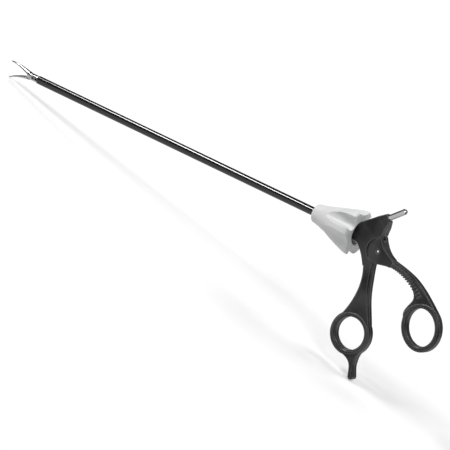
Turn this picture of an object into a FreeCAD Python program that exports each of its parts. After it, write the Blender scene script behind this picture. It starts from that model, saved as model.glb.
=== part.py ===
import FreeCAD, Part
import math
import os
import re
from FreeCAD import Placement, Rotation, Vector

# Maryland dissector, in millimetres. Every piece is drawn in the shaft's own frame: +X runs from the jaws to
# the handle along the shaft axis, +Z is up, and the origin is where the shaft leaves the rotation knob. The
# whole instrument is then tilted about that origin until the jaw tip and the handle's spur share one level.

SIZES = {
    # stance and travel, in degrees
    "rest_tilt": 14.25,
    "shaft_roll": 8.0,
    "handle_travel": 20.0,
    "jaw_opening": 16.0,
    # clearances: between turning parts, between fixed parts, and at the handle's parting line
    "running_gap": 0.05,
    "seat_gap": 0.01,
    "parting_gap": 0.25,
    # shaft tube, its black insulation and the rod's liner
    "tube_reach": 233.8,
    "tube_radius": 2.5,
    "tube_wall": 0.4,
    "tube_setback": 8.0,
    "sleeve_wall": 0.35,
    "sleeve_tail": 14.0,
    "sleeve_tail_wall": 0.15,
    "rod_radius": 0.9,
    # clevis and jaws
    "pivot_reach": 6.3,
    "nose_radius": 2.4,
    "clevis_slot": 2.4,
    "clevis_shank": 6.0,
    "slot_depth": 7.4,
    "guide_start": 2.0,
    "jaw_pin_radius": 0.7,
    "drive_pin_radius": 0.5,
    "drive_pin_setback": 3.6,
    "tab_thickness": 0.8,
    "tang_thickness": 0.7,
    "jaw_length": 19.4,
    "jaw_heel_height": 2.35,
    "jaw_heel_width": 4.8,
    "jaw_tip_height": 0.8,
    "jaw_tip_width": 1.4,
    "jaw_curve": 1.5,
    "curve_start": 9.0,
    "tooth_pitch": 0.9,
    "tooth_depth": 0.22,
    "tooth_start": 4.4,
    # rotation knob
    "knob_phase": -6.0,
    "knob_nose_radius": 6.2,
    "knob_rim_radius": 15.6,
    "knob_length": 34.0,
    "knob_rim": 3.0,
    "flute_radius": 4.6,
    "flute_floor": 8.9,
    "scoop_radius": 13.0,
    "scoop_floor": 8.6,
    "scoop_slope": 8.9,
    "recess_radius": 7.9,
    "recess_depth": 5.0,
    # hub that carries the knob and turns in the housing
    "hub_radius": 3.6,
    "hub_length": 14.0,
    "neck_radius": 3.15,
    "flange_radius": 3.95,
    "flange_setback": 0.4,
    "flange_width": 1.6,
    "seal_section": 0.9,
    "washer_thickness": 0.5,
    # fixed handle
    "housing_width": 9.0,
    "arm_width": 7.4,
    "edge_bevel": 1.0,
    "nose_cylinder": 7.2,
    "spine_angle": 39.0,
    "crease_drop": 4.7,
    "facet_depth": 2.4,
    "finger_ring_x": 19.95,
    "finger_ring_z": -61.1,
    "finger_hole": 10.7,
    "finger_wall": 3.6,
    "scoop_rim": 2.5,
    "scoop_depth": 0.9,
    "scoop_reach": 17.0,
    # thumb handle and its pivot
    "pivot_x": 19.5,
    "pivot_drop": 4.4,
    "head_radius": 8.1,
    "lug_radius": 4.0,
    "lug_start": 1.95,
    "lug_thickness": 0.9,
    "lug_gap": 0.1,
    "handle_pin_radius": 1.1,
    "pin_recess_radius": 1.5,
    "pin_recess": 0.5,
    "ball_radius": 1.4,
    "thumb_width": 6.4,
    "thumb_ring_x": 65.2,
    "thumb_ring_z": -37.4,
    "thumb_ring_lean": -64.1,
    "thumb_hole_long": 12.2,
    "thumb_hole_short": 10.2,
    "thumb_wall": 3.6,
    "rib_height": 0.45,
    "rib_width": 0.9,
    "rib_length": 3.2,
    "head_bevel": 1.0,
    # monopolar post
    "post_radius": 2.0,
    "post_length": 13.0,
    "post_x": 17.15,
    "post_z": 17.65,
    "post_angle": 42.0,
    "shank_radius": 1.1,
    "shank_length": 9.0,
    "nut_across": 3.6,
    "nut_height": 2.0,
    "nut_depth": 3.2,
    "leaf_thickness": 0.4,
    "leaf_width": 3.4,
}

doc = FreeCAD.newDocument("maryland_dissector")
sheet = doc.addObject("Spreadsheet::Sheet", "Sizes")
for row, (alias, amount) in enumerate(SIZES.items(), start=1):
    sheet.set(f"A{row}", alias)
    sheet.set(f"B{row}", str(amount))
    sheet.setAlias(f"B{row}", alias)
doc.recompute()

NODES = []


def value(formula):
    """The number that a formula of the sheet's cells gives."""
    return float(sheet.evalExpression(formula))


def turn(axis, angle):
    """A placement that only turns, about an axis through the origin."""
    return Placement(Vector(0, 0, 0), Rotation(Vector(*axis), angle))


REST = turn((0, 1, 0), -value("rest_tilt"))
SHAFT = REST * turn((1, 0, 0), value("shaft_roll"))
HANDLE = REST * Placement(Vector(value("knob_length"), 0, 0), Rotation())


def finish(piece, label, pose):
    """Name a finished sub-part and set it in the assembly."""
    piece.Label = label
    piece.Placement = pose * piece.Placement
    NODES.append(piece)
    return piece


def along(name, radius, start, end):
    """A cylinder on the shaft axis; radius, start and end are formulas."""
    piece = doc.addObject("Part::Cylinder", name)
    piece.setExpression("Radius", bound(radius))
    piece.setExpression("Height", bound(f"({end}) - ({start})"))
    piece.Placement = Placement(Vector(value(start), 0, 0), Rotation(Vector(0, 1, 0), 90))
    return piece


def bound(formula):
    """The same formula with each cell's name led by the sheet's, as other objects need it."""
    return re.sub("[a-z_]+", lambda word: f"Sizes.{word[0]}", formula)


def across(name, radius, half_length, x, z=0.0):
    """A cylinder along Y, centred on the mid-plane."""
    piece = doc.addObject("Part::Cylinder", name)
    piece.setExpression("Radius", bound(radius))
    piece.setExpression("Height", bound(f"2 * ({half_length})"))
    piece.Placement = Placement(Vector(x, value(half_length), z), Rotation(Vector(1, 0, 0), 90))
    return piece


def cut(name, base, *tools):
    """The base less every tool."""
    piece = base
    for number, tool in enumerate(tools):
        step = doc.addObject("Part::Cut", f"{name}_{number}")
        step.Base = piece
        step.Tool = tool
        piece = step
    return piece


def body(name):
    """An empty body."""
    return doc.addObject("PartDesign::Body", name)


def plane(owner, role):
    """One of a body's origin planes or axes."""
    return next(item for item in owner.Origin.OriginFeatures if item.Role == role)


def sketch(owner, role, curves, offset=None):
    """A closed outline on one of the body's planes, moved off it where an offset is given."""
    drawing = owner.newObject("Sketcher::SketchObject", "outline")
    drawing.AttachmentSupport = [(plane(owner, role), "")]
    drawing.MapMode = "FlatFace"
    if offset is not None:
        drawing.AttachmentOffset = offset
    for curve in curves:
        drawing.addGeometry(curve, False)
    doc.recompute()
    return drawing


def extrude(owner, kind, drawing, length, both_ways=False, reverse=False):
    """A pad or pocket of the outline; length is a formula."""
    feature = owner.newObject(f"PartDesign::{kind}", kind)
    feature.Profile = drawing
    feature.setExpression("Length", bound(length))
    feature.SideType = "Symmetric" if both_ways else "One side"
    feature.Reversed = reverse
    doc.recompute()
    return feature


def line(a, b):
    return Part.LineSegment(Vector(*a, 0), Vector(*b, 0))


def arc(a, middle, b):
    return Part.Arc(Vector(*a, 0), Vector(*middle, 0), Vector(*b, 0))


def spline(*points):
    curve = Part.BSplineCurve()
    curve.interpolate([Vector(*p, 0) for p in points])
    return curve


def polygon(*points):
    """Straight lines from point to point, closed."""
    return [line(a, b) for a, b in zip(points, points[1:] + points[:1])]


def circle(centre, radius):
    return Part.Circle(Vector(*centre, 0), Vector(0, 0, 1), radius)


def polar(centre, radius, degrees):
    """The point at a distance and direction from a centre."""
    a = math.radians(degrees)
    return (centre[0] + radius * math.cos(a), centre[1] + radius * math.sin(a))


def swing(centre, radius, start, end):
    """An arc about a centre, between two directions in degrees."""
    stops = (start, (start + end) / 2, end)
    return arc(*(polar(centre, radius, stop) for stop in stops))


def bevelled(owner, base, level, size):
    """A bevel round the flat side faces at a distance from the mid-plane; size is a formula."""
    names = []
    for number, face in enumerate(base.Shape.Faces, start=1):
        box = face.BoundBox
        if box.YLength < 1e-4 and abs(abs(box.YMin) - level) < 1e-4:
            names.append(f"Face{number}")
    feature = owner.newObject("PartDesign::Chamfer", "Chamfer")
    feature.Base = (base, names)
    feature.setExpression("Size", bound(size))
    doc.recompute()
    return feature


def outer_tube():
    """Stainless tube of the shaft."""
    end = "knob_length - tube_setback"
    wall = along("tube_outside", "tube_radius", "-tube_reach", end)
    bore = along("tube_inside", "tube_radius - tube_wall", "-tube_reach - 1", f"{end} + 1")
    finish(cut("tube", wall, bore), "outer_tube", SHAFT)


def insulation_sleeve():
    """Shrunk-on insulation from the tube's front end to the knob, thinner where the knob grips it."""
    skin = along("sleeve_outside", "tube_radius + sleeve_wall", "-tube_reach", "0")
    tail = along("sleeve_tail_outside", "tube_radius + sleeve_tail_wall", "-1", "sleeve_tail")
    whole = doc.addObject("Part::Fuse", "sleeve_whole")
    whole.Base = skin
    whole.Tool = tail
    bore = along("sleeve_inside", "tube_radius + seat_gap", "-tube_reach - 1", "sleeve_tail + 1")
    finish(cut("sleeve", whole, bore), "insulation_sleeve", SHAFT)


def rod_liner():
    """Slippery liner that keeps the rod central in the tube."""
    end = "knob_length - tube_setback"
    outside = along("liner_outside", "tube_radius - tube_wall - seat_gap", "-tube_reach + 16", f"{end} - 4")
    inside = along("liner_inside", "rod_radius + running_gap", "-tube_reach", end)
    finish(cut("liner", outside, inside), "rod_liner", SHAFT)


PIVOT = value("-tube_reach - pivot_reach")
STROKE = 2 * value("pivot_drop") * math.tan(math.radians(value("handle_travel") / 2))


def clevis():
    """Forked tip: two cheeks for the jaws, a guide slot for the drive pin, and a shank in the tube."""
    rod = along("fork_rod", "tube_radius", "-tube_reach - pivot_reach - nose_radius", "-tube_reach")
    side = body("fork_side")
    nose = value("nose_radius")
    wide = value("tube_radius") + 0.2
    end = value("-tube_reach") + 0.2
    curves = [
        swing((PIVOT, 0), nose, 90, 270),
        line((PIVOT, -nose), (PIVOT + 1.5, -wide)),
        line((PIVOT + 1.5, -wide), (end, -wide)),
        line((end, -wide), (end, wide)),
        line((end, wide), (PIVOT + 1.5, wide)),
        line((PIVOT + 1.5, wide), (PIVOT, nose)),
    ]
    extrude(side, "Pad", sketch(side, "XZ_Plane", curves), "4 * tube_radius", both_ways=True)
    fork = doc.addObject("Part::Common", "fork")
    fork.Base = rod
    fork.Tool = side
    shank_end = "-tube_reach + clevis_shank"
    shank = along("fork_shank", "tube_radius - tube_wall - seat_gap", "-tube_reach - 1", shank_end)
    solid = doc.addObject("Part::Fuse", "fork_solid")
    solid.Base = fork
    solid.Tool = shank
    gap = doc.addObject("Part::Box", "fork_gap")
    gap.setExpression("Length", bound("nose_radius + 1 + slot_depth"))
    gap.setExpression("Width", bound("clevis_slot"))
    gap.setExpression("Height", bound("2 * tube_radius + 2"))
    gap.Placement.Base = Vector(PIVOT - nose - 1, -value("clevis_slot") / 2, -value("tube_radius") - 1)
    bore = along("fork_bore", "rod_radius + running_gap", "-tube_reach - 1", "-tube_reach + clevis_shank + 1")
    pin_hole = across("fork_pin_hole", "jaw_pin_radius + seat_gap", "tube_radius + 1", PIVOT)
    finish(cut("clevis", solid, gap, bore, pin_hole, guide_slot()), "clevis", SHAFT)


def guide_slot():
    """Cutter for the slots in both cheeks that the drive pin's ends run in."""
    owner = body("guide_cutter")
    start = PIVOT + value("guide_start")
    end = value("-tube_reach") - value("drive_pin_radius") + 0.1
    half = value("drive_pin_radius + running_gap")
    curves = [
        line((start, half), (end, half)),
        swing((end, 0), half, 90, -90),
        line((end, -half), (start, -half)),
        swing((start, 0), half, 270, 90),
    ]
    extrude(owner, "Pad", sketch(owner, "XZ_Plane", curves), "4 * tube_radius", both_ways=True)
    return owner


def jaw_pivot_pin():
    """Riveted pin through both cheeks and both jaws."""
    finish(across("jaw_pivot_pin", "jaw_pin_radius", "tube_radius - 0.15", PIVOT), "jaw_pivot_pin", SHAFT)


def bite_line(s):
    """Height of the closed jaws' meeting line, at a distance from the pivot towards the tip."""
    start = value("curve_start")
    run = max(0.0, s - start) / (value("jaw_length") - start)
    return -value("jaw_curve") * run**2


def jaw_section(owner, s, side, height, width):
    """D-shaped section across a jaw: flat on the bite, round outside."""
    floor = bite_line(s) + side * value("running_gap")
    left = (-width / 2, floor)
    right = (width / 2, floor)
    top = (0, floor + side * height)
    offset = Placement(Vector(0, 0, -s), Rotation())
    return sketch(owner, "YZ_Plane", [line(left, right), arc(right, top, left)], offset)


def slot_point(travel, offset=0.0):
    """Centre of the drive pin in the upper jaw's frame when the rod has moved by the travel."""
    swing_left = math.radians(value("jaw_opening")) * (1 - travel / STROKE)
    reach = value("drive_pin_setback") + travel
    return (reach * math.cos(swing_left), reach * math.sin(swing_left))


def jaw(label, side):
    """One jaw: lofted blade with cross teeth, and a tang beside the mid-plane with the cam slot."""
    owner = body(label)
    length = value("jaw_length")
    heel = (value("jaw_heel_height"), value("jaw_heel_width"))
    tip = (value("jaw_tip_height"), value("jaw_tip_width"))
    stations = []
    for share, slim in ((0.08, 0.0), (0.25, 0.2), (0.5, 0.52), (0.75, 0.8), (0.93, 1.0)):
        height = heel[0] + slim * (tip[0] - heel[0])
        width = heel[1] + slim * (tip[1] - heel[1])
        stations.append(jaw_section(owner, share * length, side, height, width))
    stations.append(jaw_section(owner, length, side, tip[0] * 0.55, tip[1] * 0.55))
    blade = owner.newObject("PartDesign::AdditiveLoft", "blade")
    blade.Profile = stations[0]
    blade.Sections = stations[1:]
    blade.Ruled = True
    doc.recompute()
    heel_clearance = sketch(owner, "XZ_Plane", [circle((0, 0), value("nose_radius") + 0.15)])
    extrude(owner, "Pocket", heel_clearance, "4 * tube_radius", both_ways=True)
    extrude(owner, "Pocket", sketch(owner, "XZ_Plane", teeth(side)), "4 * tube_radius", both_ways=True)
    near = value("tab_thickness") / 2 + value("running_gap")
    lift = near if side < 0 else -near - value("tang_thickness")
    layer = Placement(Vector(0, 0, lift), Rotation())
    for outline in tang(side):
        extrude(owner, "Pad", sketch(owner, "XZ_Plane", outline, layer), "tang_thickness")
    holes = [circle((0, 0), value("jaw_pin_radius + running_gap"))] + cam_slot(side)
    extrude(owner, "Pocket", sketch(owner, "XZ_Plane", holes), "4 * tube_radius", both_ways=True)
    pose = Placement(Vector(PIVOT, 0, 0), Rotation(Vector(0, 1, 0), side * value("jaw_opening")))
    finish(owner, label, SHAFT * pose)


def teeth(side):
    """Saw-tooth outline along the bite, open towards the other jaw."""
    pitch = value("tooth_pitch")
    depth = value("tooth_depth")
    count = int((value("jaw_length") - value("tooth_start") - pitch) / pitch)
    points = []
    for number in range(count + 1):
        s = value("tooth_start") + number * pitch
        floor = bite_line(s) + side * value("running_gap")
        points.append((-s, floor))
        if number < count:
            middle = bite_line(s + pitch / 2) + side * (value("running_gap") + depth)
            points.append((-s - pitch / 2, middle))
    beyond = -side * 2.0 + bite_line(value("jaw_length"))
    points.append((points[-1][0], beyond))
    points.append((points[0][0], beyond))
    return polygon(*points)


def tang(side):
    """Outlines of the flat tang: a foot in the blade, a disc at the pivot and a tail round the slot."""
    disc = value("nose_radius") - 0.5
    open_end = slot_point(0.0)
    closed_end = slot_point(STROKE)
    tail = value("drive_pin_radius") + 0.4
    slope = math.degrees(math.atan2(closed_end[0] - open_end[0], open_end[1] - closed_end[1]))
    top = [(0.0, disc), polar(open_end, tail, 95)]
    curves = [
        line(top[0], top[1]),
        swing(open_end, tail, 95, slope),
        line(polar(open_end, tail, slope), polar(closed_end, tail, slope)),
        swing(closed_end, tail, slope, -80),
        line(polar(closed_end, tail, -80), (0.0, -disc)),
        swing((0, 0), disc, 270, 90),
    ]
    foot = polygon((-4.0, 0.1), (0.0, 0.1), (0.0, disc), (-2.6, disc), (-4.0, 1.5))
    return [mirrored(curves, side), mirrored(foot, side)]


def mirrored(curves, side):
    """The same curves, turned over the X axis for the lower jaw."""
    if side > 0:
        return curves
    flip = FreeCAD.Matrix()
    flip.scale(Vector(1, -1, 1))
    out = []
    for curve in curves:
        if isinstance(curve, Part.LineSegment):
            ends = (curve.StartPoint, curve.EndPoint)
            out.append(Part.LineSegment(*(flip.multVec(p) for p in ends)))
        else:
            first, last = curve.FirstParameter, curve.LastParameter
            stops = (first, (first + last) / 2, last)
            out.append(Part.Arc(*(flip.multVec(curve.value(stop)) for stop in stops)))
    return out


def cam_slot(side):
    """Curved slot that turns the rod's slide into the jaw's swing at a steady ratio."""
    half = value("drive_pin_radius + running_gap")
    centres = [slot_point(STROKE * share) for share in (0.0, 0.5, 1.0)]
    step = 0.01
    upper, lower = [], []
    for share, centre in zip((0.0, 0.5, 1.0), centres):
        ahead = slot_point(STROKE * share + step)
        direction = math.degrees(math.atan2(ahead[1] - centre[1], ahead[0] - centre[0]))
        upper.append(polar(centre, half, direction + 90))
        lower.append(polar(centre, half, direction - 90))
    first = math.degrees(math.atan2(upper[0][1] - centres[0][1], upper[0][0] - centres[0][0]))
    last = math.degrees(math.atan2(upper[2][1] - centres[2][1], upper[2][0] - centres[2][0]))
    curves = [
        arc(*upper),
        swing(centres[2], half, last, last - 180),
        arc(*reversed(lower)),
        swing(centres[0], half, first + 180, first),
    ]
    return mirrored(curves, side)


def jaw_drive_pin():
    """Cross pin that the rod pushes along both cam slots and the clevis's guide slots."""
    x = PIVOT + value("drive_pin_setback")
    finish(across("jaw_drive_pin", "drive_pin_radius", "tube_radius - 0.4", x), "jaw_drive_pin", SHAFT)


def rod_tip():
    """Flattened end of the rod, between the two tangs, with the drive pin's hole."""
    pin_x = PIVOT + value("drive_pin_setback")
    tab_end = PIVOT + value("slot_depth") + 1.0
    owner = body("rod_tip_tab")
    reach = value("rod_radius") - 0.1
    curves = [
        line((pin_x, reach), (tab_end, reach)),
        line((tab_end, reach), (tab_end, -reach)),
        line((tab_end, -reach), (pin_x, -reach)),
        swing((pin_x, 0), reach, 270, 90),
        circle((pin_x, 0), value("drive_pin_radius + seat_gap")),
    ]
    extrude(owner, "Pad", sketch(owner, "XZ_Plane", curves), "tab_thickness", both_ways=True)
    tail = doc.addObject("Part::Cylinder", "rod_tip_tail")
    tail.setExpression("Radius", bound("rod_radius"))
    tail.Height = TIP_END - tab_end + 1.0
    tail.Placement = Placement(Vector(tab_end - 1.0, 0, 0), Rotation(Vector(0, 1, 0), 90))
    whole = doc.addObject("Part::Fuse", "rod_tip_whole")
    whole.Base = owner
    whole.Tool = tail
    finish(whole, "rod_tip", SHAFT)


TIP_END = value("-tube_reach + 14")
BALL_X = value("knob_length + pivot_x") - STROKE / 2


def drive_rod():
    """Long rod from the tip to the ball."""
    rod = doc.addObject("Part::Cylinder", "drive_rod")
    rod.setExpression("Radius", bound("rod_radius"))
    rod.Height = BALL_X - value("ball_radius") * 0.7 - TIP_END
    rod.Placement = Placement(Vector(TIP_END, 0, 0), Rotation(Vector(0, 1, 0), 90))
    finish(rod, "drive_rod", SHAFT)


def rod_ball():
    """Ball at the rod's rear end, screwed on, that sits in the thumb handle's slot."""
    ball = doc.addObject("Part::Sphere", "ball")
    ball.setExpression("Radius", bound("ball_radius"))
    ball.Placement.Base = Vector(BALL_X, 0, 0)
    hole = doc.addObject("Part::Cylinder", "ball_hole")
    hole.setExpression("Radius", bound("rod_radius"))
    hole.Height = value("ball_radius") * 1.3
    hole.Placement = Placement(Vector(BALL_X - value("ball_radius") * 2, 0, 0), Rotation(Vector(0, 1, 0), 90))
    finish(cut("rod_ball", ball, hole), "rod_ball", SHAFT)


def ring(name, label, outer, inner, start, end):
    """A plain ring on the shaft axis."""
    disc = along(f"{name}_disc", outer, start, end)
    hole = along(f"{name}_hole", inner, f"({start}) - 1", f"({end}) + 1")
    finish(cut(name, disc, hole), label, SHAFT)


def tube_hub():
    """Turned hub: the knob sits on it, its neck turns in the housing and its flange holds it there."""
    owner = body("tube_hub")
    rear = value("knob_length")
    start = rear - value("hub_length")
    seat_end = rear - value("recess_depth")
    flange = rear + value("flange_setback")
    end = flange + value("flange_width")
    bore = value("tube_radius + seat_gap")
    rod = value("rod_radius + running_gap")
    pocket = value("rod_radius + seal_section")
    step = rear - value("tube_setback")
    seal = end - value("seal_section") - 0.3
    points = (
        (start, bore),
        (start, value("hub_radius")),
        (seat_end, value("hub_radius")),
        (seat_end, value("neck_radius")),
        (flange, value("neck_radius")),
        (flange, value("flange_radius")),
        (end, value("flange_radius")),
        (end, pocket),
        (seal, pocket),
        (seal, rod),
        (step, rod),
        (step, bore),
    )
    revolve(owner, "Revolution", polygon(*points))
    finish(owner, "tube_hub", SHAFT)


def revolve(owner, kind, curves):
    """A full turn of a profile about the shaft axis."""
    drawing = sketch(owner, "XZ_Plane", curves)
    feature = owner.newObject(f"PartDesign::{kind}", kind)
    feature.Profile = drawing
    feature.ReferenceAxis = (plane(owner, "X_Axis"), [""])
    feature.Angle = 360
    doc.recompute()
    return feature


def rod_seal():
    """Square-cut rubber ring in the hub's rear pocket that wipes the rod."""
    end = "knob_length + flange_setback + flange_width - 0.3"
    outer = "rod_radius + seal_section - seat_gap"
    ring("seal", "rod_seal", outer, "rod_radius + seat_gap", f"{end} - seal_section + seat_gap", end)


def friction_washer():
    """Plastic washer on the hub's neck, between the knob's recess and the handle's nose."""
    start = "knob_length - recess_depth + running_gap"
    outer = "recess_radius - 1.4"
    end = f"{start} + washer_thickness"
    ring("washer", "friction_washer", outer, "neck_radius + running_gap", start, end)


def rotation_knob():
    """Flared finger knob: a trumpet with three deep flutes and three wide scoops between them."""
    owner = body("rotation_knob")
    nose = value("knob_nose_radius")
    rim = value("knob_rim_radius")
    end = value("knob_length")
    start = end - value("hub_length")
    seat = end - value("recess_depth")
    band = end - value("knob_rim")
    middle = (0.42 * band, nose + 3.1)
    bore = value("tube_radius + sleeve_tail_wall + seat_gap")
    hub = value("hub_radius + seat_gap")
    recess = value("recess_radius")
    curves = [
        line((0.0, bore), (0.0, nose - 0.8)),
        line((0.0, nose - 0.8), (0.8, nose)),
        line((0.8, nose), (0.2 * band, nose + 1.1)),
        line((0.2 * band, nose + 1.1), middle),
        arc(middle, (0.72 * band, rim - 2.7), (band, rim)),
        line((band, rim), (end - 1.0, rim)),
        line((end - 1.0, rim), (end, rim - 1.0)),
        line((end, rim - 1.0), (end, recess)),
        line((end, recess), (seat, recess)),
        line((seat, recess), (seat, hub)),
        line((seat, hub), (start, hub)),
        line((start, hub), (start, bore)),
        line((start, bore), (0.0, bore)),
    ]
    revolve(owner, "Revolution", curves)
    flute_centre = value("flute_floor + flute_radius")
    deep = sketch(owner, "YZ_Plane", [circle(polar((0, 0), flute_centre, 150), value("flute_radius"))])
    around(owner, extrude(owner, "Pocket", deep, "4 * knob_length", both_ways=True))
    foot = Vector(0, value("scoop_floor"), 0.3 * end)
    lean = Placement(foot, Rotation(Vector(1, 0, 0), -value("scoop_slope")))
    wide = sketch(owner, "YZ_Plane", [circle((0, value("scoop_radius")), value("scoop_radius"))], lean)
    around(owner, extrude(owner, "Pocket", wide, "4 * knob_length", both_ways=True))
    finish(owner, "rotation_knob", SHAFT * turn((1, 0, 0), value("knob_phase")))


def around(owner, feature):
    """Repeat a feature three times about the shaft axis."""
    pattern = owner.newObject("PartDesign::PolarPattern", "around")
    pattern.Originals = [feature]
    pattern.Axis = (plane(owner, "X_Axis"), [""])
    pattern.Angle = 360
    pattern.Occurrences = 3
    owner.Tip = pattern
    doc.recompute()
    return pattern


HEAD = (value("pivot_x"), -value("pivot_drop"))
HEAD_START = 115.0
HEAD_TOP = (18.4, 5.3)
NOSE = -value("recess_depth - washer_thickness - 4 * running_gap")
SPINE_END = (15.3, 19.7)


def finger_ring():
    """Centre of the finger ring."""
    return (value("finger_ring_x"), value("finger_ring_z"))


def housing_outline():
    """Side view of the thick upper part of the fixed handle, from the knob's rear face onwards."""
    front = (NOSE, -4.3)
    chin = (0.6, -4.2)
    heel = (12.2, -17.0)
    corner = (18.3, heel[1])
    post_foot = (19.0, 15.6)
    run = SPINE_END[0] - NOSE
    crown = (NOSE, SPINE_END[1] - run * math.tan(math.radians(value("spine_angle"))))
    return [
        line(front, chin),
        spline(chin, (3.5, -5.0), (5.9, -7.1), (8.1, -9.7), (10.6, -13.8), heel),
        line(heel, corner),
        line(corner, (corner[0], 8.0)),
        line((corner[0], 8.0), post_foot),
        line(post_foot, SPINE_END),
        line(SPINE_END, crown),
        line(crown, front),
    ]


def arm_outline():
    """Side view of the front arm, its finger ring and the spur below."""
    centre = finger_ring()
    radius = value("finger_hole + finger_wall")
    left = polar(centre, radius, 133)
    right = polar(centre, radius, 41)
    spur_left = polar(centre, radius, 272)
    spur_right = polar(centre, radius, -40)
    tip = (31.0, -86.7)
    tip_radius = 1.8
    tip_left = polar(tip, tip_radius, 185)
    tip_right = polar(tip, tip_radius, 15)
    root = (10.2, -10.0)
    back = (18.3, -10.0)
    return [
        line(back, root),
        spline(root, (12.2, -16.8), (13.7, -21.6), (14.7, -29.8), (13.6, -40.1), left),
        arc(left, polar(centre, radius, 200), spur_left),
        spline(spur_left, (23.7, -76.6), (26.3, -78.6), (27.8, -81.5), tip_left),
        swing(tip, tip_radius, 185, 375),
        spline(tip_right, (31.7, -83.5), (30.4, -80.0), (30.0, -76.8), (30.1, -73.2), spur_right),
        arc(spur_right, polar(centre, radius, 0), right),
        spline(right, (26.0, -41.1), (23.6, -35.1), (21.8, -28.8), (20.4, -22.5), (19.1, -16.1), back),
        circle(centre, value("finger_hole")),
    ]


def head_clearance():
    """Room in the fixed handle for the thumb handle's head."""
    gap = value("parting_gap")
    radius = value("head_radius") + gap
    start = polar(HEAD, radius, HEAD_START)
    top = (HEAD_TOP[0] - 0.1, HEAD_TOP[1] + gap * 1.4)
    end = polar(HEAD, radius, -95)
    return [
        line(start, top),
        line(top, (26.0, top[1])),
        line((26.0, top[1]), (26.0, end[1])),
        line((26.0, end[1]), end),
        arc(end, polar(HEAD, radius, 180), start),
    ]


def scoop(owner, centre, inner, half):
    """A shallow cone cut into both faces above a ring, deepest at the ring's rim and running out upwards."""
    depth = value("scoop_depth")
    outer = inner + value("scoop_reach")
    place = Placement(Vector(centre[0], 0, centre[1]), Rotation())
    for side in (-1, 1):
        wedge = polygon(
            (inner, side * (half - depth)),
            (outer, side * half),
            (outer, side * (half + 1)),
            (inner, side * (half + 1)),
        )
        drawing = sketch(owner, "XY_Plane", wedge, place)
        feature = owner.newObject("PartDesign::Groove", "scoop")
        feature.Profile = drawing
        feature.ReferenceAxis = (drawing, ["V_Axis"])
        feature.Angle = 360
        doc.recompute()


def fixed_shell(label, side):
    """One half of the fixed handle, from the mid-plane outwards; side is -1 towards -Y."""
    owner = body(label)
    outward = side > 0
    half = value("housing_width") / 2
    arm_half = value("arm_width") / 2
    arm = extrude(owner, "Pad", sketch(owner, "XZ_Plane", arm_outline()), "arm_width / 2", reverse=outward)
    bevelled(owner, arm, arm_half, "edge_bevel")
    scoop(owner, finger_ring(), value("finger_hole + scoop_rim"), arm_half)
    extrude(owner, "Pad", sketch(owner, "XZ_Plane", housing_outline()), "housing_width / 2", reverse=outward)
    shoulder = polygon(
        (side * (half + 0.01), -9.5),
        (side * arm_half, -16.6),
        (side * arm_half, -18.0),
        (side * (half + 1), -18.0),
        (side * (half + 1), -9.5),
    )
    extrude(owner, "Pocket", sketch(owner, "YZ_Plane", shoulder), "4 * pivot_x", both_ways=True)
    lean = Placement(Vector(0, SPINE_END[1], SPINE_END[0]), Rotation(Vector(1, 0, 0), value("spine_angle")))
    facet = polygon(
        (side * (half + 0.01), -value("crease_drop")),
        (side * (half - value("facet_depth")), 0.01),
        (side * (half + 1), 1.0),
    )
    extrude(owner, "Pocket", sketch(owner, "YZ_Plane", facet, lean), "4 * pivot_x", both_ways=True)
    size = value("nose_cylinder")
    front = Placement(Vector(0, 0, NOSE - 1), Rotation())
    ring_outline = sketch(owner, "YZ_Plane", [circle((0, 0), size), circle((0, 0), size * 4)], front)
    extrude(owner, "Pocket", ring_outline, "recess_depth + 0.8", reverse=True)
    extrude(owner, "Pocket", sketch(owner, "XZ_Plane", head_clearance()), "4 * housing_width", both_ways=True)
    revolve(owner, "Groove", hub_seat())
    extrude(owner, "Pocket", sketch(owner, "XZ_Plane", spring_room()), "lug_start", reverse=not outward)
    turned(owner, "Groove", sketch(owner, "XZ_Plane", post_seat(), post_lean()))
    layer = Placement(Vector(0, 0, -side * value("lug_start")), Rotation())
    extrude(owner, "Pad", sketch(owner, "XZ_Plane", lug_outline(), layer), "lug_thickness", reverse=outward)
    pin_bore = sketch(owner, "XZ_Plane", [circle(HEAD, value("handle_pin_radius + seat_gap"))])
    extrude(owner, "Pocket", pin_bore, "4 * housing_width", both_ways=True)
    finish(owner, label, HANDLE)


def lug_outline():
    """Lug that carries the handle's pivot pin, reaching back from the housing."""
    radius = value("lug_radius")
    up = polar(HEAD, radius, 90)
    down = polar(HEAD, radius, -90)
    back = HEAD[0] - value("head_radius") - 2.0
    return [
        line((back, up[1] - 1.0), up),
        swing(HEAD, radius, 90, -90),
        line(down, (back, down[1])),
        line((back, down[1]), (back, up[1] - 1.0)),
    ]


def hub_seat():
    """Profile of the bore that the hub turns in, and of the rod's way behind it."""
    gap = value("running_gap")
    neck = value("neck_radius") + gap
    flange = value("flange_radius") + gap
    start = value("flange_setback") - gap
    end = value("flange_setback + flange_width") + gap
    rod = value("rod_radius") + 0.5
    nose = NOSE - 1
    back = value("pivot_x")
    points = (
        (nose, 0),
        (nose, neck),
        (start, neck),
        (start, flange),
        (end, flange),
        (end, rod),
        (back, rod),
        (back, 0),
    )
    return polygon(*points)


def spring_room():
    """Room for the contact spring between the post and the rod."""
    return polygon((4.4, 0.0), (9.6, 0.0), (9.6, 6.0), (11.8, 10.6), (9.2, 13.2), (4.4, 6.0))


def post_lean():
    """Placement on the side plane that lays a drawing's own X axis along the post."""
    lean = Rotation(Vector(0, 0, 1), value("post_angle"))
    return Placement(Vector(value("post_x"), value("post_z"), 0), lean)


def turned(owner, kind, drawing):
    """A full turn of an outline about its own drawing's X axis."""
    feature = owner.newObject(f"PartDesign::{kind}", kind)
    feature.Profile = drawing
    feature.ReferenceAxis = (drawing, ["H_Axis"])
    feature.Angle = 360
    doc.recompute()
    return feature


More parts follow.
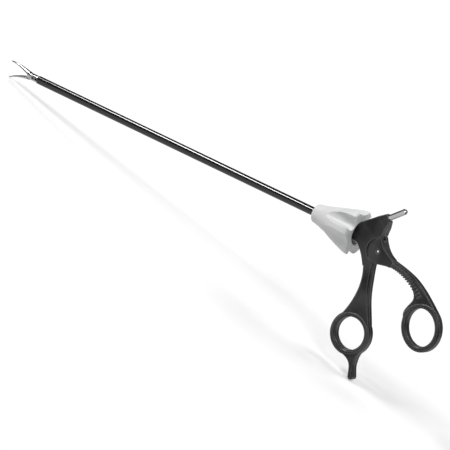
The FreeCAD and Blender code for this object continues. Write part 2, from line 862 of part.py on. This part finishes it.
def post_seat():
    """Profile of the seat for the post's shank and its nut, along the post's axis."""
    shank = value("shank_radius + seat_gap")
    nut = value("nut_across + 2 * running_gap") / 2 / math.cos(math.pi / 6)
    back = -value("nut_depth") - value("nut_height") - value("running_gap")
    front = -value("nut_depth") + value("running_gap")
    end = -value("shank_length") - 0.6
    points = (
        (0.5, 0),
        (0.5, shank),
        (front, shank),
        (front, nut),
        (back, nut),
        (back, shank),
        (end, shank),
        (end, 0),
    )
    return polygon(*points)


def hf_post():
    """Chromed connector post with a thinner shank inside the housing."""
    owner = body("hf_post")
    radius = value("post_radius")
    shank = value("shank_radius")
    end = value("post_length")
    curves = [
        line((-value("shank_length"), 0), (-value("shank_length"), shank)),
        line((-value("shank_length"), shank), (0.02, shank)),
        line((0.02, shank), (0.02, radius)),
        line((0.02, radius), (end - 1.0, radius)),
        line((end - 1.0, radius), (end, radius - 1.0)),
        line((end, radius - 1.0), (end, 0)),
        line((end, 0), (-value("shank_length"), 0)),
    ]
    revolve(owner, "Revolution", curves)
    finish(owner, "hf_post", HANDLE * POST)


POST_TURN = Rotation(Vector(0, 1, 0), -value("post_angle"))
POST = Placement(Vector(value("post_x"), 0, value("post_z")), POST_TURN)


def post_nut():
    """Hexagon nut that clamps the post's shank inside the housing."""
    prism = doc.addObject("Part::Prism", "nut_prism")
    prism.Polygon = 6
    prism.Circumradius = value("nut_across") / 2 / math.cos(math.pi / 6)
    prism.setExpression("Height", bound("nut_height"))
    hole = doc.addObject("Part::Cylinder", "nut_hole")
    hole.setExpression("Radius", bound("shank_radius + seat_gap"))
    hole.setExpression("Height", bound("2 * nut_height"))
    hole.Placement.Base = Vector(0, 0, -value("nut_height") / 2)
    nut = cut("post_nut", prism, hole)
    start = Vector(-value("nut_depth + nut_height"), 0, 0)
    finish(nut, "post_nut", HANDLE * POST * Placement(start, Rotation(Vector(0, 1, 0), 90)))


def strip(path, thickness):
    """Closed outline of a thin strip along a path, thickened to its left."""
    edge = []
    for index, point in enumerate(path):
        before = path[max(index - 1, 0)]
        after = path[min(index + 1, len(path) - 1)]
        run = math.hypot(after[0] - before[0], after[1] - before[1])
        normal = ((before[1] - after[1]) / run, (after[0] - before[0]) / run)
        edge.append((point[0] + thickness * normal[0], point[1] + thickness * normal[1]))
    return polygon(*path, *reversed(edge))


def contact_spring():
    """Bent leaf that carries the current from the post down to the sliding rod."""
    owner = body("contact_spring")
    shank_end = polar((value("post_x"), value("post_z")), -value("shank_length") - 0.01, value("post_angle"))
    crown = polar(shank_end, 1.2, value("post_angle") + 90)
    root = polar(shank_end, 1.0, value("post_angle") - 90)
    contact = value("rod_radius") + 0.1
    foot = [(9.0, 4.5), (7.9, contact + 0.5), (7.2, contact), (6.4, contact + 0.5), (5.7, contact + 1.6)]
    outline = strip([crown, root, *foot][::-1], value("leaf_thickness"))
    extrude(owner, "Pad", sketch(owner, "XZ_Plane", outline), "leaf_width", both_ways=True)
    finish(owner, "contact_spring", HANDLE)


def handle_pivot_pin():
    """Steel pin through the lugs and the thumb handle's head."""
    length = "housing_width / 2 - pin_recess"
    finish(across("handle_pivot_pin", "handle_pin_radius", length, *HEAD), "handle_pivot_pin", HANDLE)


def thumb_ring(grow):
    """The thumb ring's ellipse, grown outwards by an amount from the hole's edge."""
    lean = math.radians(value("thumb_ring_lean"))
    along_it = Vector(math.cos(lean), math.sin(lean), 0)
    across_it = Vector(-math.sin(lean), math.cos(lean), 0)
    centre = Vector(value("thumb_ring_x"), value("thumb_ring_z"), 0)
    long_end = centre + along_it * (value("thumb_hole_long") + grow)
    short_end = centre + across_it * (value("thumb_hole_short") + grow)
    return Part.Ellipse(long_end, short_end, centre)


def thumb_arm_outline():
    """Side view of the thumb handle's curved arm and its oval ring."""
    outside = thumb_ring(value("thumb_wall"))
    start = math.radians(-118)
    end = math.radians(119)
    low = outside.value(start)
    high = outside.value(end)
    upper = [(20.5, 1.8), (23.1, -1.3), (26.4, -3.7), (30.7, -5.7), (36.0, -6.8), (42.0, -8.1), (48.2, -9.9),
             (57.9, -14.7), (68.3, -21.9), (high.x, high.y)]
    lower = [(low.x, low.y), (51.9, -27.6), (53.5, -22.3), (51.2, -18.1), (44.6, -13.5), (35.0, -11.0),
             (29.6, -11.0), (23.8, -11.9), (20.5, -12.4)]
    return [
        spline(*upper),
        Part.ArcOfEllipse(outside, start, end),
        spline(*lower),
        line(lower[-1], upper[0]),
        thumb_ring(0.0),
    ]


def head_outline():
    """Side view of the thick head that turns on the pivot, with the start of the arm."""
    radius = value("head_radius")
    start = polar(HEAD, radius, HEAD_START)
    end = polar(HEAD, radius, -100)
    return [
        line(start, HEAD_TOP),
        spline(HEAD_TOP, (20.5, 1.8), (23.1, -1.3), (26.4, -3.7), (30.7, -5.7)),
        line((30.7, -5.7), (30.7, -11.0)),
        spline((30.7, -11.0), (26.5, -11.4), (23.8, -11.9), end),
        arc(end, polar(HEAD, radius, 188), start),
    ]


def head_slopes():
    """Plan view of what the head's side faces lose towards the housing and towards the arm."""
    half = value("housing_width") / 2
    arm = value("thumb_width") / 2
    crease = HEAD[0] - 2.7
    edge = HEAD[0] - value("head_radius") - 1
    heel = HEAD[0] + 2.3
    foot = HEAD[0] + 9.0
    end = foot + 2.5
    slopes = []
    for side in (1, -1):
        low = side * (half - value("head_bevel"))
        high = side * (half + 1)
        slopes += polygon((crease, side * half), (edge, low), (edge, high))
        slopes += polygon((heel, side * half), (end, high), (end, side * arm), (foot, side * arm))
    return slopes


def lug_slot():
    """Outline of the slots in the head that pass over the fixed lugs as the handle turns."""
    near = value("lug_radius") + 0.15
    left = HEAD[0] - value("head_radius") - 2
    low = polar(HEAD, near, 270 + value("handle_travel"))
    drop = (low[0] - left) * math.tan(math.radians(value("handle_travel")))
    top = polar(HEAD, near, 90)
    return [
        line(top, (left, top[1])),
        line((left, top[1]), (left, low[1] - drop)),
        line((left, low[1] - drop), low),
        swing(HEAD, near, value("handle_travel") - 90, 90),
    ]


def rod_way():
    """Outline of the open channel that the rod passes through at every angle of the handle."""
    ball = HEAD[0] - STROKE / 2
    floor = -value("rod_radius") - 0.15
    left = HEAD[0] - value("head_radius") - 1.0
    drop = (ball - left) * math.tan(math.radians(value("handle_travel")))
    return polygon((ball, floor), (left, floor - drop), (left, 9.0), (ball, 9.0))


def ball_slot():
    """Outline of the radial slot that the rod's ball slides in."""
    half = value("ball_radius + running_gap")
    lean = 90 + value("handle_travel") / 2
    low = polar(HEAD, value("pivot_drop") - half - 0.1, lean)
    high = polar(HEAD, value("pivot_drop") + 8.0, lean)
    right = (polar(low, half, lean - 90), polar(high, half, lean - 90))
    left = (polar(high, half, lean + 90), polar(low, half, lean + 90))
    return polygon(*right, *left)


def grip_ribs():
    """Fifteen short cross ribs along the lower half of the thumb arm."""
    ribs = []
    count = 15
    half_width = value("rib_width") / 2
    half_length = value("rib_length") / 2
    row_length = 25.0
    for number in range(count):
        share = number / (count - 1)
        middle = (32.2 + row_length * share, -9.0 - 1.5 * share - 9.5 * share**2)
        slope = math.degrees(math.atan2(-1.5 - 19.0 * share, row_length))
        corners = []
        for run, rise in ((-1, -1), (1, -1), (1, 1), (-1, 1)):
            foot = polar(middle, run * half_width, slope)
            corners.append(polar(foot, rise * half_length, slope + 90))
        ribs += polygon(*corners)
    return ribs


def thumb_handle():
    """Thumb handle in one piece: slotted head, curved arm with grip ribs, and an oval ring."""
    owner = body("thumb_handle")
    arm_half = value("thumb_width") / 2
    ring_centre = (value("thumb_ring_x"), value("thumb_ring_z"))
    arm = extrude(owner, "Pad", sketch(owner, "XZ_Plane", thumb_arm_outline()), "thumb_width", both_ways=True)
    bevelled(owner, arm, arm_half, "edge_bevel")
    scoop(owner, ring_centre, value("thumb_hole_long + scoop_rim"), arm_half)
    extrude(owner, "Pad", sketch(owner, "XZ_Plane", head_outline()), "housing_width", both_ways=True)
    extrude(owner, "Pocket", sketch(owner, "XY_Plane", head_slopes()), "8 * head_radius", both_ways=True)
    ribs = sketch(owner, "XZ_Plane", grip_ribs())
    extrude(owner, "Pad", ribs, "thumb_width + 2 * rib_height", both_ways=True)
    low = value("lug_start - lug_gap")
    wide = value("lug_thickness + 2 * lug_gap")
    for side in (1, -1):
        level = low + wide if side > 0 else -low
        slot = sketch(owner, "XZ_Plane", lug_slot(), Placement(Vector(0, 0, level), Rotation()))
        extrude(owner, "Pocket", slot, "lug_thickness + 2 * lug_gap")
        face = Placement(Vector(0, 0, side * value("housing_width / 2 - pin_recess")), Rotation())
        recess = sketch(owner, "XZ_Plane", [circle(HEAD, value("pin_recess_radius"))], face)
        extrude(owner, "Pocket", recess, "2 * housing_width", reverse=side > 0)
    extrude(owner, "Pocket", sketch(owner, "XZ_Plane", rod_way()), "2 * rod_radius + 0.4", both_ways=True)
    ball = sketch(owner, "XZ_Plane", ball_slot())
    extrude(owner, "Pocket", ball, "2 * ball_radius + 2 * running_gap", both_ways=True)
    pin_hole = sketch(owner, "XZ_Plane", [circle(HEAD, value("handle_pin_radius + running_gap"))])
    extrude(owner, "Pocket", pin_hole, "4 * housing_width", both_ways=True)
    finish(owner, "thumb_handle", HANDLE)


SHAFT_PIECES = (outer_tube, insulation_sleeve, rod_liner, clevis, jaw_pivot_pin, jaw_drive_pin, rod_tip)
KNOB_PIECES = (drive_rod, rod_ball, tube_hub, rod_seal, friction_washer, rotation_knob)
HANDLE_PIECES = (hf_post, post_nut, contact_spring, handle_pivot_pin, thumb_handle)
for build in SHAFT_PIECES + KNOB_PIECES + HANDLE_PIECES:
    build()
jaw("upper_jaw", 1)
jaw("lower_jaw", -1)
fixed_shell("handle_shell_left", -1)
fixed_shell("handle_shell_right", 1)

doc.recompute()
faults = [item.Label for item in doc.Objects if "Invalid" in item.State or "Error" in item.State]
for node in NODES:
    if node.Shape.isNull() or not node.Shape.isValid() or len(node.Shape.Solids) != 1:
        faults.append(node.Label)
        continue
    print(node.Label, len(node.Shape.Solids), round(node.Shape.Volume, 2), len(node.Shape.Faces))
if faults:
    raise RuntimeError(f"did not build: {faults}")

os.makedirs("parts", exist_ok=True)
for node in NODES:
    node.Shape.exportStep(f"parts/{node.Label}.step")
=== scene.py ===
import math

import bpy
from mathutils import Matrix, Vector


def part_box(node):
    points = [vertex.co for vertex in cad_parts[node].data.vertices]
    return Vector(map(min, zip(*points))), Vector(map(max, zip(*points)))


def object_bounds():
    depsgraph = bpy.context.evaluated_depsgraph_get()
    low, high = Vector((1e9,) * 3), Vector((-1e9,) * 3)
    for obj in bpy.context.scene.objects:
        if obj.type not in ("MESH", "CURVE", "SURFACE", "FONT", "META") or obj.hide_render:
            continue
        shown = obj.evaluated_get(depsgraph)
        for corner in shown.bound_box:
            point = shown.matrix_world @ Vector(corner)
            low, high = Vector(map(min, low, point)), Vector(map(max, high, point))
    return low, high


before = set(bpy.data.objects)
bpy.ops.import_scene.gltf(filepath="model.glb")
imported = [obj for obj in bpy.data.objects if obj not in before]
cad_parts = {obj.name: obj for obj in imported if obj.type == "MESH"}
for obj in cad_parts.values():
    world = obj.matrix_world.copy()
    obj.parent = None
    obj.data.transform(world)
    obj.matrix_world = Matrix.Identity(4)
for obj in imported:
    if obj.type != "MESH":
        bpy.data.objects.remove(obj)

cad_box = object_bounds()

# The table. A plain matt white top that the instrument rests on at its lower jaw's tip and its spur. It keeps
# the soft shadow, and a glow that only the camera and reflections see makes it paper white. The glow grows
# with the distance, because the lamps' light falls off there.

table_size = 60.0
table_tone = (0.6, 0.6, 0.6, 1.0)
table_roughness = 0.9
glow_start, glow_end = 0.4, 2.5
near_glow, far_glow = 0.39, 0.9


def material(name):
    """A new material with its plain shader, and its node tree to add to."""
    made = bpy.data.materials.new(name)
    made.use_nodes = True
    return made, made.node_tree


def ramp(tree, value, start, end, low=0.0, high=1.0):
    """A number that goes from low to high while the value goes from start to end."""
    change = tree.nodes.new("ShaderNodeMapRange")
    change.inputs["From Min"].default_value = start
    change.inputs["From Max"].default_value = end
    change.inputs["To Min"].default_value = low
    change.inputs["To Max"].default_value = high
    tree.links.new(value, change.inputs["Value"])
    return change.outputs["Result"]


def larger(tree, first, second):
    """The larger of two numbers."""
    pick = tree.nodes.new("ShaderNodeMath")
    pick.operation = "MAXIMUM"
    tree.links.new(first, pick.inputs[0])
    tree.links.new(second, pick.inputs[1])
    return pick.outputs["Value"]


def length_of(tree, vector):
    """The length of a vector."""
    measure = tree.nodes.new("ShaderNodeVectorMath")
    measure.operation = "LENGTH"
    tree.links.new(vector, measure.inputs[0])
    return measure.outputs["Value"]


def table_white():
    """Matt white with the glow added for the camera and in reflections."""
    made, tree = material("white_table")
    nodes, links = tree.nodes, tree.links
    matt = nodes["Principled BSDF"]
    matt.inputs["Base Color"].default_value = table_tone
    matt.inputs["Roughness"].default_value = table_roughness
    matt.inputs["Specular IOR Level"].default_value = 0.0
    place = nodes.new("ShaderNodeTexCoord")
    distance = length_of(tree, place.outputs["Object"])
    glow = nodes.new("ShaderNodeEmission")
    links.new(ramp(tree, distance, glow_start, glow_end, near_glow, far_glow), glow.inputs["Strength"])
    dark = nodes.new("ShaderNodeEmission")
    dark.inputs["Strength"].default_value = 0.0
    path = nodes.new("ShaderNodeLightPath")
    seen = larger(tree, path.outputs["Is Camera Ray"], path.outputs["Is Glossy Ray"])
    seen = larger(tree, seen, path.outputs["Is Transmission Ray"])
    choice = nodes.new("ShaderNodeMixShader")
    links.new(seen, choice.inputs[0])
    links.new(dark.outputs[0], choice.inputs[1])
    links.new(glow.outputs[0], choice.inputs[2])
    both = nodes.new("ShaderNodeAddShader")
    links.new(matt.outputs[0], both.inputs[0])
    links.new(choice.outputs[0], both.inputs[1])
    links.new(both.outputs[0], nodes["Material Output"].inputs["Surface"])
    return made


bpy.ops.object.select_all(action="DESELECT")
bpy.ops.mesh.primitive_plane_add(size=table_size, location=(0.0, 0.0, cad_box[0][2]))
table_top = bpy.context.object
table_top.name = "table_top"
table_top.data.materials.append(table_white())

# The light. One soft lamp stands high on the right, a strip over the jaws draws the line of light along the
# shaft, and one above and behind catches the handle's back. The room adds a little from everywhere.

middle = Vector((-0.09, 0.0, -0.01))
lamp_side = 0.9
strip_height = 0.26
room_light = 0.16


def soft_lamp(name, place, height, power):
    """Soft lamp that faces the middle of the instrument and is itself out of the picture from every side."""
    light = bpy.data.lights.new(name, "AREA")
    light.shape = "RECTANGLE"
    light.size = lamp_side
    light.size_y = height
    light.energy = power
    lamp = bpy.data.objects.new(name, light)
    lamp.location = place
    lamp.rotation_euler = (middle - Vector(place)).to_track_quat("-Z", "Y").to_euler()
    lamp.visible_camera = False
    bpy.context.scene.collection.objects.link(lamp)


soft_lamp("right_lamp", (1.10, -1.20, 2.10), lamp_side, 18.0)
soft_lamp("strip_lamp", (-1.41, -0.66, 1.33), strip_height, 28.0)
soft_lamp("back_lamp", (0.35, 0.90, 1.70), lamp_side, 16.0)

studio = bpy.data.worlds.new("studio")
studio.use_nodes = True
backdrop = studio.node_tree.nodes["Background"]
backdrop.inputs["Color"].default_value = (1.0, 1.0, 1.0, 1.0)
backdrop.inputs["Strength"].default_value = room_light
bpy.context.scene.world = studio
bpy.context.scene.view_settings.view_transform = "Standard"

# The camera. It stands far off with a long lens, to the right of the handle's plane and a little above, and
# is rolled so that the shaft climbs to the upper left. It looks at a point beside and below the shaft, a
# little in front of the knob.

shaft_slope = math.radians(14.25)
shaft_climb = math.radians(22.76)
swing = math.radians(31.0)
aim = Vector((-0.03577, -0.02924, -0.03692))
distance_off = 2.129

turned = Matrix.Rotation(-(shaft_slope + shaft_climb), 3, "Y") @ Matrix.Rotation(swing, 3, "Z")
right, ahead, up = turned.col
lens = bpy.data.cameras.new("camera")
lens.sensor_width = 36.0
lens.lens = 264.0
lens.clip_end = 50.0
camera = bpy.data.objects.new("camera", lens)
facing = Matrix((right, up, -ahead)).transposed().to_4x4()
camera.matrix_world = Matrix.Translation(aim - distance_off * ahead) @ facing
bpy.context.scene.collection.objects.link(camera)
bpy.context.scene.camera = camera

# The two handles. Glass-filled black nylon from a spark-eroded mould: a fine matt grain, slow paler patches
# that are a painted sheen on the flats, and softly rounded edges that are paler, partly from rubbed wear and
# partly as a painted highlight. The fixed one is two halves that meet on the mid-plane, the thumb one is a
# single moulding.

grain_detail = 3.0
grain_height = 0.00012
patch_fineness, patch_detail = 65.0, 2.0
patch_start, patch_end = 0.35, 0.65
edge_samples = 6
# How far from an edge the painted edge tone reaches: a painted highlight on the plastics, painted shade on
# the metals.
edge_paint_start, edge_paint_end = 0.995, 0.90


def surface_group():
    """Shared surface effect: a fine grain on rounded edges, slow patches, and a mask of the edges, where the
    finishes paint highlights on plastic and shade lines on metal.
    """
    group = bpy.data.node_groups.new("fine_grain", "ShaderNodeTree")
    for name in ("Fineness", "Depth", "Edge"):
        group.interface.new_socket(name, in_out="INPUT", socket_type="NodeSocketFloat")
    group.interface.new_socket("Normal", in_out="OUTPUT", socket_type="NodeSocketVector")
    for name in ("Patches", "Painted Edges"):
        group.interface.new_socket(name, in_out="OUTPUT", socket_type="NodeSocketFloat")
    nodes, links = group.nodes, group.links
    given = nodes.new("NodeGroupInput")
    put = nodes.new("NodeGroupOutput")
    place = nodes.new("ShaderNodeTexCoord")

    rounded = nodes.new("ShaderNodeBevel")
    rounded.samples = edge_samples
    links.new(given.outputs["Edge"], rounded.inputs["Radius"])
    grain = nodes.new("ShaderNodeTexNoise")
    grain.inputs["Detail"].default_value = grain_detail
    links.new(place.outputs["Object"], grain.inputs["Vector"])
    links.new(given.outputs["Fineness"], grain.inputs["Scale"])
    bump = nodes.new("ShaderNodeBump")
    bump.inputs["Distance"].default_value = grain_height
    links.new(given.outputs["Depth"], bump.inputs["Strength"])
    links.new(grain.outputs["Fac"], bump.inputs["Height"])
    links.new(rounded.outputs["Normal"], bump.inputs["Normal"])
    links.new(bump.outputs["Normal"], put.inputs["Normal"])

    # Slow patches of tone and roughness; on the black nylon their paler tone is a painted sheen.
    cloud = nodes.new("ShaderNodeTexNoise")
    cloud.inputs["Scale"].default_value = patch_fineness
    cloud.inputs["Detail"].default_value = patch_detail
    links.new(place.outputs["Object"], cloud.inputs["Vector"])
    patches = ramp(group, cloud.outputs["Fac"], patch_start, patch_end)
    links.new(patches, put.inputs["Patches"])

    # The edge mask. The finishes paint their edge tone here: a painted highlight on the plastics, painted
    # shade on the metals.
    surface = nodes.new("ShaderNodeNewGeometry")
    alike = nodes.new("ShaderNodeVectorMath")
    alike.operation = "DOT_PRODUCT"
    links.new(surface.outputs["Normal"], alike.inputs[0])
    links.new(rounded.outputs["Normal"], alike.inputs[1])
    edge_paint = ramp(group, alike.outputs["Value"], edge_paint_start, edge_paint_end)
    links.new(edge_paint, put.inputs["Painted Edges"])
    return group


fine_grain = surface_group()


def blended(tree, factor, first, second):
    """A colour between two, each a fixed tone or another node's colour."""
    blend = tree.nodes.new("ShaderNodeMix")
    blend.data_type = "RGBA"
    tree.links.new(factor, blend.inputs["Factor"])
    for socket, colour in (("A", first), ("B", second)):
        if isinstance(colour, tuple):
            blend.inputs[socket].default_value = (*colour, 1.0)
        else:
            tree.links.new(colour, blend.inputs[socket])
    return blend.outputs["Result"]


def finish(name, tones, rough, grain, edge=0.0001, edge_paint=None, metallic=0.0, gloss=0.5):
    """Moulded or machined surface. Its tone and roughness drift between two values in slow patches, its grain
    has a fineness and a depth, and its edges are rounded and take a painted edge tone: a painted highlight
    where it is paler and painted shade where it is darker. Without one given, the edges take the second tone."""
    made, tree = material(name)
    shader = tree.nodes["Principled BSDF"]
    shader.inputs["Metallic"].default_value = metallic
    shader.inputs["Specular IOR Level"].default_value = gloss
    effect = tree.nodes.new("ShaderNodeGroup")
    effect.node_tree = fine_grain
    effect.inputs["Fineness"].default_value, effect.inputs["Depth"].default_value = grain
    effect.inputs["Edge"].default_value = edge
    patches = effect.outputs["Patches"]
    tone = blended(tree, patches, *tones)
    # Paints the edge tone along the edges: a painted highlight where it is paler, painted shade where it is
    # darker.
    tone = blended(tree, effect.outputs["Painted Edges"], tone, edge_paint or tones[1])
    tree.links.new(tone, shader.inputs["Base Color"])
    tree.links.new(ramp(tree, patches, 0.0, 1.0, *rough), shader.inputs["Roughness"])
    tree.links.new(effect.outputs["Normal"], shader.inputs["Normal"])
    return made


def dress(look, *names):
    """Gives the named pieces their finish."""
    for name in names:
        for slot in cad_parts[name].material_slots:
            slot.material = look


black_nylon = finish(
    "black_nylon", tones=((0.002, 0.002, 0.003), (0.046, 0.046, 0.047)), rough=(0.30, 0.46),
    grain=(5200.0, 0.3), edge=0.0012, edge_paint=(0.15, 0.15, 0.15), gloss=0.25,
)
dress(black_nylon, "handle_shell_left", "handle_shell_right", "thumb_handle")

# The rotation knob. Light grey moulded plastic, smooth and satin, with its flutes' edges rounded and a paler
# painted highlight along them. It is pressed on the hub.

pale_grey = finish(
    "pale_grey_plastic", tones=((0.67, 0.68, 0.68), (0.73, 0.73, 0.73)), rough=(0.36, 0.46),
    grain=(3800.0, 0.12), edge=0.0005, edge_paint=(0.84, 0.84, 0.84),
)
dress(pale_grey, "rotation_knob")

# The shaft's insulation. A black polymer sleeve shrunk tight on the steel tube, glossy with the faintest
# ripples.

black_gloss = finish(
    "black_insulation", tones=((0.004, 0.004, 0.005), (0.007, 0.007, 0.008)), rough=(0.06, 0.10),
    grain=(900.0, 0.004),
)
dress(black_gloss, "insulation_sleeve")

# The tube, the forked tip, the drive rod and the post's nut. Stainless steel, drawn or turned and then
# polished, with a painted dark shade line along the edges.

painted_edge_shade = (0.02, 0.02, 0.02)


def metal(name, **look):
    """Polished metal with painted dark shade lines along its edges."""
    return finish(name, edge_paint=painted_edge_shade, metallic=1.0, **look)


stainless = metal(
    "stainless_steel", tones=((0.38, 0.38, 0.39), (0.48, 0.48, 0.48)), rough=(0.16, 0.26),
    grain=(2600.0, 0.1), edge=0.0006,
)
dress(stainless, "outer_tube", "clevis", "rod_tip", "drive_rod", "rod_ball", "post_nut")

# The two jaws. Forged stainless steel, ground along their D-shaped backs and toothed inside, a little duller
# than the tube, with a wider painted dark shade line along their edges. They are pinned in the fork.

jaw_steel = metal(
    "jaw_steel", tones=((0.32, 0.32, 0.33), (0.44, 0.44, 0.44)), rough=(0.18, 0.3),
    grain=(3200.0, 0.15), edge=0.0009,
)
dress(jaw_steel, "upper_jaw", "lower_jaw")

# The connector post and the jaws' two pins. Turned bright steel, polished nearly to a mirror, with a thin
# painted dark shade line along the edges. A nut holds the post in its lug, the jaws' pivot is riveted in the
# fork, and the drive pin is pressed in the rod's tip.

bright_steel = metal(
    "bright_steel", tones=((0.38, 0.38, 0.39), (0.46, 0.46, 0.46)), rough=(0.07, 0.12),
    grain=(2000.0, 0.03), edge=0.0003,
)
dress(bright_steel, "jaw_pivot_pin", "jaw_drive_pin", "hf_post")

# The handle's pivot pin. A round pin of dark steel, pressed into both shells, with a painted highlight in the
# middle of its ends and a painted dark shade line along its edges.

highlight_radius, highlight_fade = 0.0005, 0.0007
highlight_tone = (0.85, 0.85, 0.85)


def paint_axis_highlight(look, name):
    """Paints a bright highlight on a finish near the axis of a round piece that lies along Y."""
    low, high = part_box(name)
    tree = look.node_tree
    place = tree.nodes.new("ShaderNodeTexCoord")
    centred = tree.nodes.new("ShaderNodeMapping")
    centred.inputs["Location"].default_value = (-(low[0] + high[0]) / 2, 0.0, -(low[2] + high[2]) / 2)
    tree.links.new(place.outputs["Object"], centred.inputs["Vector"])
    flattened = tree.nodes.new("ShaderNodeVectorMath")
    flattened.operation = "MULTIPLY"
    flattened.inputs[1].default_value = (1.0, 0.0, 1.0)
    tree.links.new(centred.outputs["Vector"], flattened.inputs[0])
    from_axis = length_of(tree, flattened.outputs["Vector"])
    # The painted highlight: full within its radius, fading out by the fade distance.
    highlight_mask = ramp(tree, from_axis, highlight_fade, highlight_radius)
    base = tree.nodes["Principled BSDF"].inputs["Base Color"]
    plain = base.links[0].from_socket
    tree.links.new(blended(tree, highlight_mask, plain, highlight_tone), base)


pin_steel = metal(
    "pin_steel", tones=((0.05, 0.05, 0.05), (0.09, 0.09, 0.09)), rough=(0.25, 0.35),
    grain=(2600.0, 0.1), edge=0.0003,
)
paint_axis_highlight(pin_steel, "handle_pivot_pin")
dress(pin_steel, "handle_pivot_pin")

# The pieces inside. A turned black plastic hub that carries the knob, a white slippery liner and washer for
# what slides, a rubber ring that wipes the rod, and a brass leaf bent from strip.

hub_plastic = finish(
    "hub_plastic", tones=((0.03, 0.03, 0.03), (0.05, 0.05, 0.05)), rough=(0.4, 0.5), grain=(2400.0, 0.1),
)
dress(hub_plastic, "tube_hub")

liner_plastic = finish(
    "liner_plastic", tones=((0.78, 0.78, 0.76), (0.84, 0.84, 0.82)), rough=(0.4, 0.5), grain=(1800.0, 0.05),
)
dress(liner_plastic, "rod_liner", "friction_washer")

seal_rubber = finish(
    "seal_rubber", tones=((0.02, 0.02, 0.02), (0.03, 0.03, 0.03)), rough=(0.6, 0.75), grain=(3000.0, 0.2),
)
dress(seal_rubber, "rod_seal")

spring_brass = finish(
    "spring_brass", tones=((0.66, 0.48, 0.22), (0.74, 0.56, 0.28)), rough=(0.25, 0.35),
    grain=(2200.0, 0.08), metallic=1.0,
)
dress(spring_brass, "contact_spring")
